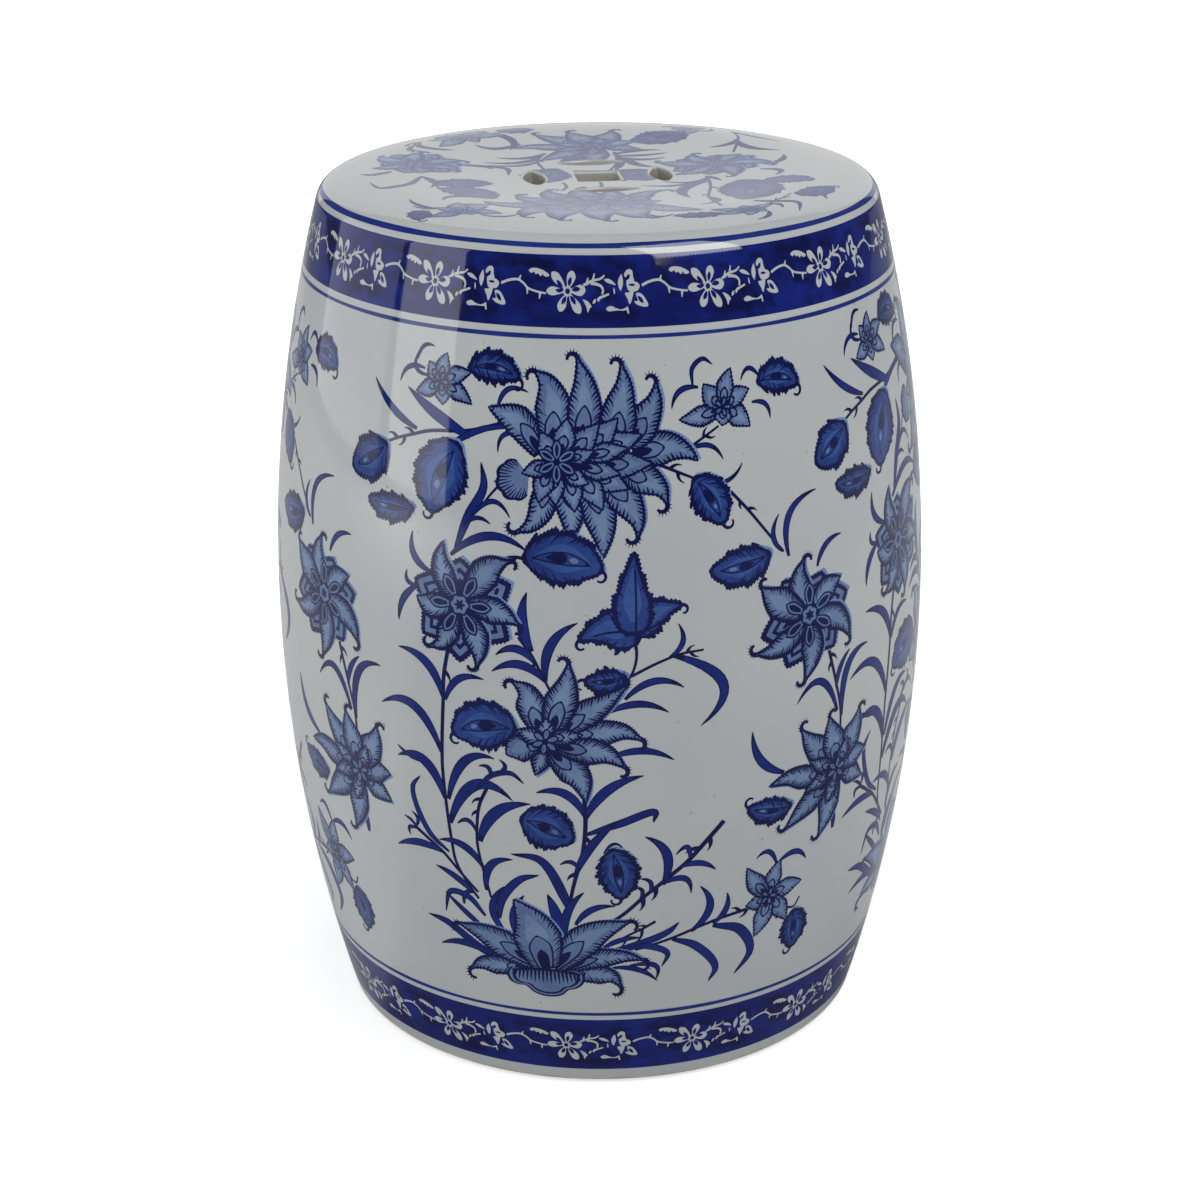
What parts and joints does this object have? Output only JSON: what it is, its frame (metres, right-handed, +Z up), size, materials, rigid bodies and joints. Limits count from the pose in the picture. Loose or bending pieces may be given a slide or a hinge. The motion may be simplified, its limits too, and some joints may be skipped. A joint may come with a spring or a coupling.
{
  "type": "ceramic garden stool",
  "caption": "Glazed drum-shaped garden stool, hollow and open below, with a pierced seat and blue flowers painted on white, standing on soft pads under its foot ring.",
  "frame": {"origin": "on the floor, on the drum's axis", "axes": "+Z up along the drum's axis; the square hole's sides lie along X and Y; the picture looks along +Y, turned a few degrees towards +X"},
  "size_m": [0.348, 0.348, 0.457],
  "materials": {
    "blue_and_white_glaze": "gloss",
    "pad_rubber": "matte"
  },
  "bodies": {
    "root": {"seat_top": "blue_and_white_glaze", "upper_wall": "blue_and_white_glaze", "lower_wall": "blue_and_white_glaze", "foot_ring": "blue_and_white_glaze", "floor_pad_1": "pad_rubber", "floor_pad_2": "pad_rubber", "floor_pad_3": "pad_rubber", "floor_pad_4": "pad_rubber"}
  },
  "joints": []
}
